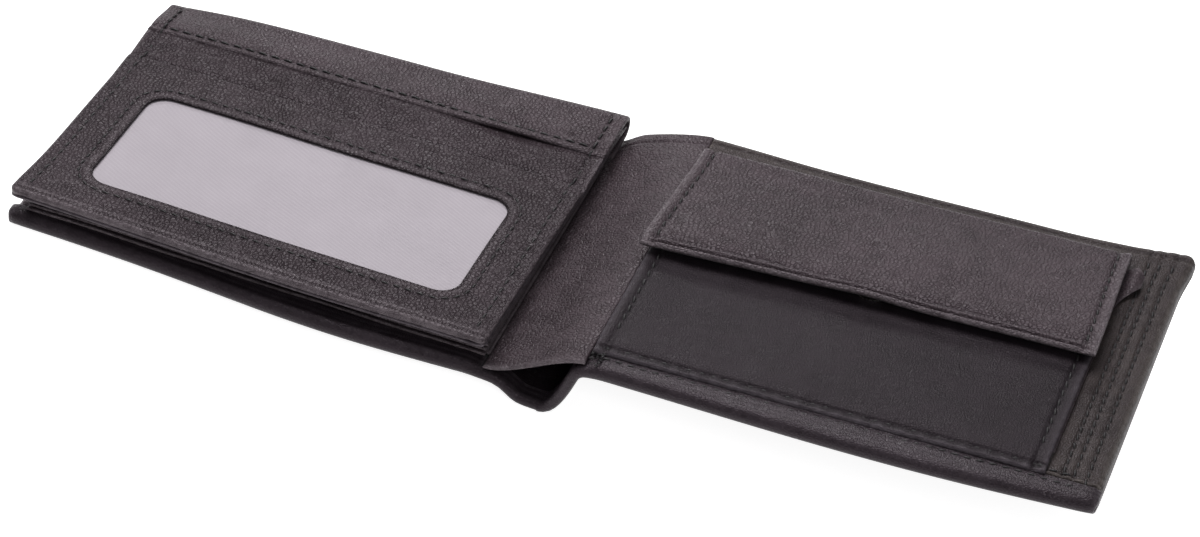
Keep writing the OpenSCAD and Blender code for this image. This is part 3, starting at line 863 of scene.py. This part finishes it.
def window_frame():
    """Leather round the window: raised rim, stitched groove, folded ridges at the free edge."""
    t = window_high[2] - RIM - window_low[2]
    edge = 0.9
    near_hole = [0.45 * r for r in ROUND_STEPS]
    near_hole += [0.8, 1.2, 1.6, 2.0, 2.4, 2.7, 3.0, 3.2, 3.4, 3.7, 4.1, 4.7, 5.5]
    near_rim = [edge * r for r in ROUND_STEPS]
    near_rim += [1.2, 1.5, 1.8, 2.1, 2.4, 2.7, 3.0, 3.25, 3.5, 3.75, 4.0, 4.5, 5.2]
    outer_low = np.array([window_low[0], window_low[1]])
    outer_high = np.array([window_high[0], STEP_EDGE])
    middle, size = (outer_low + outer_high) / 2, (outer_high - outer_low) / 2
    sides, arc_steps = (64, 30), 7
    loops = [
        hole_centre + loop_points(*(hole_half + d), WINDOW_RADIUS + d, sides, arc_steps)
        for d in near_hole
    ]
    outer_loops = [
        middle + loop_points(*(size - d), max(2.2 - d, 0.4), sides, arc_steps)
        for d in near_rim[::-1]
    ]
    inner_last, outer_first = loops[-1], outer_loops[0]
    for share in np.linspace(0, 1, 5)[1:-1]:
        loops.append(inner_last + share * (outer_first - inner_last))
    uv = np.stack(loops + outer_loops)
    u, v = uv[..., 0], uv[..., 1]
    hole_distance = np.broadcast_to(
        np.r_[near_hole, [9.0] * (len(uv) - len(near_hole))][:, None], u.shape
    )
    rim_distance = from_rim(u, v, outer_low, outer_high)
    rim_distance = np.maximum(rim_distance, 0)
    skived = t - 0.95 * (1 - smooth(hole_distance, 3.3, 5.4))
    half = skived / 2 * rounded(hole_distance, 0.45) * rounded(rim_distance, edge)
    half[[0, -1]] = 0
    relief = RIM * bell(hole_distance - 1.2, 0.85) - GROOVE * bell(hole_distance - WINDOW_SEAM, 0.6)
    side_distance = from_sides(u, outer_low, outer_high)
    relief -= 0.32 * bell(side_distance - SIDE_SEAM, 0.7)
    from_near = v - outer_low[1]
    fold = 0.42 * bell(from_near - 0.75, 0.5) - 0.42 * bell(from_near - 1.65, 0.4)
    fold += 0.36 * bell(from_near - 2.5, 0.5)
    relief += fold * smooth(u, 2, 10) - 0.12 * smooth(v, STEP_EDGE - 2, STEP_EDGE)
    pucker = 0.12 * np.sin(u * 1.1) * bell(v - (hole_centre[1] + hole_half[1]) - 3.2, 2.5)
    # Painted highlight on the raised rim and the folded ridges; painted shade at the hole's edge and in the ring
    # and side seam grooves.
    wear_light_shade = edge_wear(rim_distance) * 0.8 + 0.3 * bell(hole_distance - 1.4, 0.5)
    wear_light_shade = wear_light_shade + np.clip(1.3 * fold, 0, 1) - 0.3 * bell(hole_distance - WINDOW_SEAM, 0.55)
    wear_light_shade = wear_light_shade - 0.8 * bell(hole_distance, 0.5) - 0.3 * bell(side_distance - SIDE_SEAM, 0.6)
    centre = window_place(u, v, FRAME_TOP - skived / 2 + pucker)
    piece = slab(
        "window_frame_leather", centre, half, FRAME_LEATHER, relief, wear_light_shade,
        closed=True,
    )
    attach(piece, window_place, "window_frame")


def window_mesh():
    low = hole_centre - hole_half - MESH_SEWN_IN
    high = hole_centre + hole_half + MESH_SEWN_IN

    def sag(u, v):
        return -0.25 * bell(u - hole_centre[0], 35) * bell(v - hole_centre[1], 14)

    cloth(
        "window_mesh_cloth", "window_mesh", window_place, low, high, FRAME_TOP - 1.1, 0.28, MESH,
        "window_leaf_back", step=2.0, lift=sag,
    )


def window_leaf_sheets():
    low, high = left.extent("window_leaf_back")
    panel(
        "window_leaf_back_leather", "window_leaf_back", window_place, low[:2], high[:2], low[2],
        high[2] - low[2], COVER_LEATHER, step=2.2, radius=2.2, corners=[(1, -1), (-1, -1)],
    )

    low, high = left.extent("window_leaf_slot")

    def hollow(u, v):
        """Flush with the hem along the mouth, except where the mouth gapes near the crease."""
        gap = 0.5 * bell(u - 24, 14) * smooth(v, MOUTH - 6, MOUTH)
        return 0.8 * smooth(v, STEP_EDGE, MOUTH) + 0.1 * ripple(u, v, 9.0) - gap

    def shape(u, v):
        side = from_sides(u, low, high)
        # Negative relief paints shade into the seam grooves and behind the frame's step.
        return -0.3 * bell(side - SIDE_SEAM, 0.6) - 0.3 * bell(v - STEP_EDGE - 0.7, 0.6)

    panel(
        "window_leaf_slot_leather", "window_leaf_slot", window_place, low[:2],
        (high[0], MOUTH + 2.5), low[2] + 0.05, 0.75, FRAME_LEATHER, step=1.6,
        marks_u=(low[0] + SIDE_SEAM, high[0] - SIDE_SEAM), marks_v=(STEP_EDGE + 0.7,),
        lift=hollow, shape=shape,
    )

    low, high = left.extent("window_leaf_top_strip")
    panel(
        "window_leaf_strip_leather", "window_leaf_top_strip", window_place,
        (low[0], MOUTH + 2.8), (high[0], high[1] - 2.5), low[2] - 0.1, high[2] - low[2] - 0.1,
        INNER_LEATHER, step=2.0,
    )


def hinge_band():
    """The rolled band on which the window leaf turns: a stitched tail on top, an open loop at
    the far edge, and a foot sewn to the left leaf."""
    low, high = left.extent("window_hinge_band")
    t = 1.15
    axis = np.array(joints["window_leaf_fold"]["pos_m"]) / MM - left.origin
    axis_v, axis_h = float(axis[1]), float(axis @ left.h_dir)
    radius = high[2] - axis_h - t / 2
    edge = 0.55 * t
    low[1] = MOUTH + 0.2
    tail = lines(low[1], axis_v, 1.2, edge, marks=(low[1] + HEM,))
    turn = np.pi * (0.5 - np.linspace(0, 1, 19))
    foot_v = np.linspace(axis_v, axis_v - 8, 9)[1:]
    foot_h = (axis_h - radius) - (axis_h - radius - DECK - 0.75) * smooth(axis_v - foot_v, 0, 5)
    v = np.r_[tail, axis_v + radius * np.cos(turn)[1:], foot_v]
    h = np.r_[0 * tail + high[2] - t / 2, axis_h + radius * np.sin(turn)[1:], foot_h]
    us = lines(low[0], high[0], 1.8, edge, marks=(low[0] + SIDE_SEAM, high[0] - SIDE_SEAM))
    u, v = np.meshgrid(us, v, indexing="ij")
    h = np.broadcast_to(h, v.shape)
    along = np.broadcast_to(run_along(np.stack([v[0], h[0]], 1)), v.shape)
    side = from_sides(u, low, high)
    distance = np.minimum.reduce([side, along, along[0, -1] - along])
    half = t / 2 * rounded(distance, edge)
    on_tail = smooth(h, high[2] - 1.2, high[2] - 0.7)
    from_hem = v - low[1]
    relief = on_tail * (0.15 * bell(from_hem - 0.7, 0.5) - 0.32 * bell(from_hem - HEM, 0.5))
    relief -= on_tail * 0.3 * bell(side - SIDE_SEAM, 0.7)
    dent = 0.25 * ripple(1.6 * u, v, 7.0) * smooth(v, low[1] + 3, axis_v)
    # The loop past the hinge axis is made lighter, and the tail's grooves are darkened as painted shade.
    wear_light_shade = edge_wear(distance) * 0.5 + 0.12 * smooth(v, axis_v - 2, axis_v + 3)
    wear_light_shade = wear_light_shade + 1.0 * np.clip(relief, -1, 0)
    gape = on_tail * (0.1 + 0.7 * bell(u - 24, 13)) * bell(from_hem, 2.2)
    settled = 0.3 * on_tail * (1 - smooth(from_hem, 0, 9))
    centre = window_place(u, v, h + 0.5 * dent + gape - settled)
    piece = slab(
        "window_hinge_leather", centre, half, INNER_LEATHER, relief, wear_light_shade,
        flip=True,
    )
    point = left.place(LENGTH / 2, axis_v, 0.0)
    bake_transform(piece)
    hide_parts("window_hinge_band", "window_hinge_anchor")


def window_threads():
    low_u, high_u = window_low[0] + SIDE_SEAM, window_high[0] - SIDE_SEAM
    band_top = left.extent("window_hinge_band")[1]
    hem = MOUTH + 0.2 + HEM

    def level(u, v):
        steps = [(STEP_EDGE, FRAME_TOP), (MOUTH, window_low[2] + 0.8)]
        height = np.full(np.shape(v), band_top[2])
        for end, top in reversed(steps):
            height = np.where(v < end, top, height)
        settled = 0.3 * (1 - smooth(v, MOUTH, MOUTH + 9)) * (v > MOUTH)
        return height - GROOVE + 0.16 - settled

    in_groove = flat_at(FRAME_TOP - GROOVE + 0.18)
    ring_radius = WINDOW_RADIUS + WINDOW_SEAM
    ring = hole_centre + loop_points(*(hole_half + WINDOW_SEAM), ring_radius, (40, 20), 8)
    loop = [np.r_[ring, ring[:1]]]
    stitches("window_stitches", "window_thread", window_place, loop, in_groove, CLOSE_PITCH)
    rows = [[(u, NEAR + SIDE_SEAM), (u, band_top[1] - 4)] for u in (low_u, high_u)]
    rows.append([(low_u + 1, hem), (high_u - 1, hem)])
    stitches("window_leaf_stitches", "window_leaf_thread", window_place, rows, level)


# ---------------- coin pocket


def right_panel_shape(u, v):
    """Puckered rows along the outer end and the sewn edge, a crease line at the far edge."""
    relief = np.zeros_like(u)
    for row in END_ROWS:
        relief -= 0.3 * bell(LENGTH - row - u, 0.6)
    between = bell(LENGTH - 7.6 - u, 1.0) + bell(LENGTH - 4.9 - u, 1.2)
    relief += 0.12 * between * np.sin(v * 1.3 + 0.5 * np.sin(v / 3))
    relief -= 0.25 * bell(v - NEAR - 6.4, 0.5) - 0.14 * bell(v - NEAR - 5.7, 0.4)
    relief += 0.1 * np.sin(u * 1.7) * bell(v - NEAR - 7.5, 1.6)
    relief += 0.18 * bell(FAR - 2.2 - v, 0.5) - 0.25 * bell(FAR - 3.2 - v, 0.4)
    relief += 0.18 * bell(FAR - 4.3 - v, 0.5)
    return relief


SEAM_INSET = 2.4
POCKET_NEAR = NEAR + 4.2


def coin_pocket():
    low, high = right.extent("coin_pocket_back")
    cloth(
        "coin_pocket_back_cloth", "coin_pocket_back", right.place, low[:2], high[:2],
        low[2] + 0.05, 0.35, LINING, "right_inner_panel", step=3.0,
    )

    low, high = right.extent("coin_pocket_front")
    t = 1.0
    level = high[2] - t
    low[1] = POCKET_NEAR

    def shape(u, v):
        side = from_sides(u, low, high)
        relief = 0.22 * bell(side - 0.9, 0.6) - 0.3 * bell(side - 3.0, 0.6)
        relief += 0.16 * bell(high[1] - v - 0.7, 0.5) - 0.2 * bell(high[1] - v - 3.0, 0.5)
        relief += 0.14 * np.sin(u * 1.3 + 1) * bell(v - low[1] - 1.5, 2.0)
        relief += 0.25 * bell(v - low[1] - 0.8, 0.5) - 0.32 * bell(v - low[1] - SEAM_INSET, 0.5)
        return relief

    def lift(u, v):
        side = from_sides(u, low, high)
        sunk = (level - DECK + 0.5) * (1 - smooth(v, low[1] - 1, low[1] + 7))
        wave = 0.35 * ripple(0.8 * u, v, 3.0) * smooth(side, 2, 14)
        return wave * smooth(v, low[1], low[1] + 12) - sunk

    panel(
        "coin_pocket_front_leather", "coin_pocket_front", right.place, low[:2], high[:2], level, t,
        POCKET_LEATHER, step=1.6, marks_u=(low[0] + 3, high[0] - 3),
        marks_v=(high[1] - 2.9, low[1] + 0.8, low[1] + SEAM_INSET), shape=shape, lift=lift,
    )
    for side, name in ((0, "coin_pocket_gusset_inner"), (1, "coin_pocket_gusset_outer")):
        gusset(name, (low[0], high[0])[side], 1 - 2 * side)


def gusset(name, end_u, inwards):
    """A folded strip that joins the pocket's front and back, and peeps out beside the flap."""
    low, high = right.extent("coin_pocket_gussets")
    inside, peep = 5.0, (0.2 if inwards > 0 else 4.6)
    us = np.linspace(-peep, inside, 16)
    vs = lines(low[1], high[1], 1.5, 0.3)
    k, v = np.meshgrid(us, vs, indexing="ij")
    distance = from_rim(k, v, (-peep, vs[0]), (inside, vs[-1]))
    out = np.clip(-k, 0, None) * smooth(v, high[1] - 16, high[1] - 4)
    k = np.where(k < 0, -0.2 - out * 0.9, k)
    fold = 1.1 * np.sin(np.clip(out, 0, 6) / 5.5 * np.pi) * smooth(v, high[1] - 16, high[1] - 3)
    h = low[2] + 0.25 + fold + 0.9 * bell(out - 2.6, 1.0) * smooth(v, high[1] - 12, high[1])
    drop = -0.45 * np.clip(out, 0, 6)
    centre = right.place(end_u + inwards * k, v + drop * smooth(v, high[1] - 14, high[1]), h)
    half = 0.26 * rounded(distance, 0.3)
    half[[0, -1]] = 0
    half[:, [0, -1]] = 0
    piece = slab(
        name, centre, half, INNER_LEATHER, 0.0, edge_wear(distance),
        flip=inwards < 0,
    )
    attach(piece, right.place, "coin_pocket_gussets")


def coin_flap():
    """The flap's leather, with a round fold at the far edge and a ridged free edge."""
    low, high = flap_low, flap_high
    t = 0.95
    top = right.extent("coin_pocket_front")[1][2] + FLAP_GAP + FLAP_LINING_T + FLAP_LEATHER_T
    radius = top - FLAP_H - t / 2
    near_v = FLAP_V - FLAP_LENGTH
    edge = 0.5
    flat = lines(near_v, FLAP_V, 1.3, edge, marks=(near_v + 1.3, near_v + 2.9))
    turn = np.pi * (0.5 - np.linspace(0, 1.0, 13))
    foot_v = FLAP_V - np.linspace(0, 1.6, 4)[1:]
    v = np.r_[flat, FLAP_V + (radius + 0.2) * np.cos(turn)[1:], foot_v]
    flat_h, foot_h = 0 * flat + top - t / 2, 0 * foot_v + FLAP_H - radius
    h = np.r_[flat_h, FLAP_H + radius * np.sin(turn)[1:], foot_h]
    us = lines(low[0] + 0.05, high[0] - 0.05, 1.5, edge, marks=(low[0] + 3, high[0] - 3))
    steps = run_along(np.stack([v, h], 1))
    u, v = np.meshgrid(us, v, indexing="ij")
    h = np.broadcast_to(h, v.shape)
    along = np.broadcast_to(steps, v.shape)
    side = np.minimum(u - us[0], us[-1] - u)
    distance = np.minimum.reduce([side, along, steps[-1] - along])
    half = t / 2 * rounded(distance, edge)
    ridge = 0.46 * bell(along - 0.75, 0.5) - 0.4 * bell(along - 1.55, 0.35)
    ridge += 0.4 * bell(along - 2.4, 0.5) - 0.28 * bell(along - 3.4, 0.6)
    relief = ridge * smooth(side, 1, 5)
    relief += 0.25 * bell(side - 1.0, 0.7) - 0.34 * bell(side - 3.0, 0.55)
    # Painted highlight on the free edge's ridges and beside the sides; painted shade in the grooves.
    wear_light_shade = edge_wear(distance) + np.clip(ridge, 0, 1) * 0.7 + 0.28 * bell(side - 1.0, 0.8)
    wear_light_shade = wear_light_shade + 1.0 * np.clip(relief, -1, 0)
    centre = flap_place(u, v, h)
    piece = slab("coin_flap_leather", centre, half, INNER_LEATHER, relief, wear_light_shade)
    base = right.place(LENGTH / 2, FLAP_V, 0.0)
    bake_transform(piece)
    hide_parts("coin_flap_outer")

    low_u, high_u = low[0] + 0.8, high[0] - 0.8
    cloth(
        "coin_flap_lining_cloth", "coin_flap_lining", flap_place, (low_u, near_v + 0.8),
        (high_u, FLAP_V - 0.8), top - 1.6, 0.5, LINING, "coin_flap_leather", step=2.5,
    )
    level = flat_at(top - 0.3)
    rows = [[(u, near_v + 3.4), (u, FLAP_V)] for u in (low[0] + 3, high[0] - 3)]
    stitches("coin_flap_stitches", "coin_flap_thread", flap_place, rows, level)


def right_threads():
    low, high = right.extent("coin_pocket_front")

    def level(u, v):
        return high[2] - 0.22 + 0.035 * ripple(0.8 * u, v, 3.0)

    rows = [[(u, low[1] + 6), (u, high[1] - 3)] for u in (low[0] + 3, high[0] - 3)]
    stitches("coin_pocket_stitches", "coin_pocket_thread", right.place, rows, level)

    rows = []
    for row, bottom in zip(END_ROWS, (4.0, 6.4, 6.6)):
        rows.append([(LENGTH - row, NEAR + bottom), (LENGTH - row, FAR - 6)])
    rows.append([(4, POCKET_NEAR + SEAM_INSET), (LENGTH - 6.6, POCKET_NEAR + SEAM_INSET)])
    wobble = [(u, NEAR + 3.2 + 0.15 * math.sin(u / 3)) for u in np.arange(3, LENGTH - 4, 3)]
    rows.append(wobble)
    pocket_end = high[0]

    def surface(u, v):
        on_pocket = (u < pocket_end) & (v > POCKET_NEAR)
        return DECK - 0.2 + 0.5 * on_pocket

    stitches("right_seam_stitches", "right_seam_thread", right.place, rows, surface, CLOSE_PITCH)


def bar_tacks():
    """Dense crossing stitches at the crease end of the sewn edge and at the pocket's mouth."""
    low, high = right.extent("coin_pocket_front")
    rng = np.random.default_rng(5)
    paths = []
    for _ in range(34):
        u, v = rng.uniform(0.4, 3.4), NEAR + rng.uniform(0.6, 8.5)
        turn = rng.uniform(-0.7, 0.9)
        reach = rng.uniform(0.7, 1.3)
        paths.append([(u, v), (u + reach * math.cos(turn), v + reach * math.sin(turn))])

    def heaped(u, v):
        return DECK + 0.15 + 0.2 * np.sin(7 * u + 5 * v)

    stitches(
        "bar_tack_crease", "bar_tacks", right.place, paths, heaped, pitch=1.2, radius=0.2
    )
    rows = [
        [(u - 0.9, high[1] - 2 - k * 0.5), (u + 0.9, high[1] - 1.8 - k * 0.5)]
        for u in (low[0] + 2, high[0] - 2)
        for k in range(7)
    ]
    stitches(
        "bar_tacks_mouth", "bar_tacks", right.place, rows, flat_at(high[2]), pitch=1.8, radius=0.18
    )


def press_stud():
    for node in ("snap_stud", "snap_rivet", "snap_socket", "snap_cap"):
        slots = frame["nodes"][node].data.materials
        slots.clear()
        slots.append(NICKEL)


# ---------------- studio

# The photograph's viewing angle in degrees, from a camera fitted to its corner points
AZIMUTH, ELEVATION, ROLL = 12.9, 39.24, 10.56
DISTANCE = 956.4
TARGET = Vector((-3.0, 2.9, 4.3))
FOCAL_LENGTH, SENSOR = 120.7, 36.0


def camera():
    a, e, r = (math.radians(x) for x in (AZIMUTH, ELEVATION, ROLL))
    ahead = Vector((-math.sin(a) * math.cos(e), math.cos(a) * math.cos(e), -math.sin(e)))
    level = ahead.cross(Vector((0, 0, 1))).normalized()
    upright = level.cross(ahead)
    across = math.cos(r) * level + math.sin(r) * upright
    up = math.cos(r) * upright - math.sin(r) * level
    data = bpy.data.cameras.new("camera")
    data.lens, data.sensor_width = FOCAL_LENGTH, SENSOR
    data.clip_start, data.clip_end = 0.05, 10
    eye = (TARGET - ahead * DISTANCE) * MM
    turn = Matrix((across, up, -ahead)).transposed().to_4x4()
    shown = add_object("camera", data)
    shown.matrix_world = Matrix.Translation(eye) @ turn
    bpy.context.scene.camera = shown


def softbox(name, place, size, power, aim=(0, 0, 0)):
    data = bpy.data.lights.new(name, "AREA")
    data.shape, data.size, data.size_y = "RECTANGLE", size[0] * MM, size[1] * MM
    data.energy = power
    light = add_object(name, data)
    at = Vector(place) * MM
    light.location = at
    light.rotation_mode = "QUATERNION"
    light.rotation_quaternion = (Vector(aim) * MM - at).to_track_quat("-Z", "Y")


def studio():
    mesh = bpy.data.meshes.new("floor")
    w = 3.0
    mesh.from_pydata([(-w, -w, 0), (w, -w, 0), (w, w, 0), (-w, w, 0)], [], [(0, 1, 2, 3)])
    mesh.materials.append(paper_floor("floor"))
    floor = add_object("floor", mesh)
    floor.location.z = -0.05 * MM
    world = bpy.data.worlds.new("studio")
    world.use_nodes = True
    backdrop = world.node_tree.nodes["Background"]
    backdrop.inputs["Color"].default_value = (1, 1, 1, 1)
    backdrop.inputs["Strength"].default_value = 0.22
    bpy.context.scene.world = world
    bpy.context.scene.view_settings.view_transform = "Standard"
    softbox("overhead", (-250, 260, 850), (800, 500), 9.5)
    softbox("edge", (-350, 800, 420), (500, 120), 2.2)
    softbox("front", (350, -700, 700), (300, 300), 2.0)


def main():
    camera()
    left_end, right_end = -LENGTH - 1.5, FOLD_RUN + LENGTH + SPREAD
    cover(
        "left_cover_leather", left_end, BULGE, left_end,
        ("left_cover", "fold_cover"),
    )
    cover(
        "right_cover_leather", BULGE, right_end, right_end,
        ("right_cover", "fold_cover"),
    )
    fold_lining()
    cloth_lining(left, "left_lining", 1.0)
    cloth_lining(right, "right_lining", 2.0)
    inner_panel(left, "left_inner_panel", INNER_LEATHER, left_panel_shape)
    rows_u = [LENGTH - row for row in END_ROWS]
    inner_panel(
        right, "right_inner_panel", END_LEATHER, right_panel_shape, rows_u,
        (NEAR + 6.4, FAR - 3.2),
    )
    card_slots()
    left_threads()
    window_leaf_sheets()
    window_frame()
    window_mesh()
    hinge_band()
    window_threads()
    coin_pocket()
    coin_flap()
    right_threads()
    bar_tacks()
    press_stud()
    studio()


main()
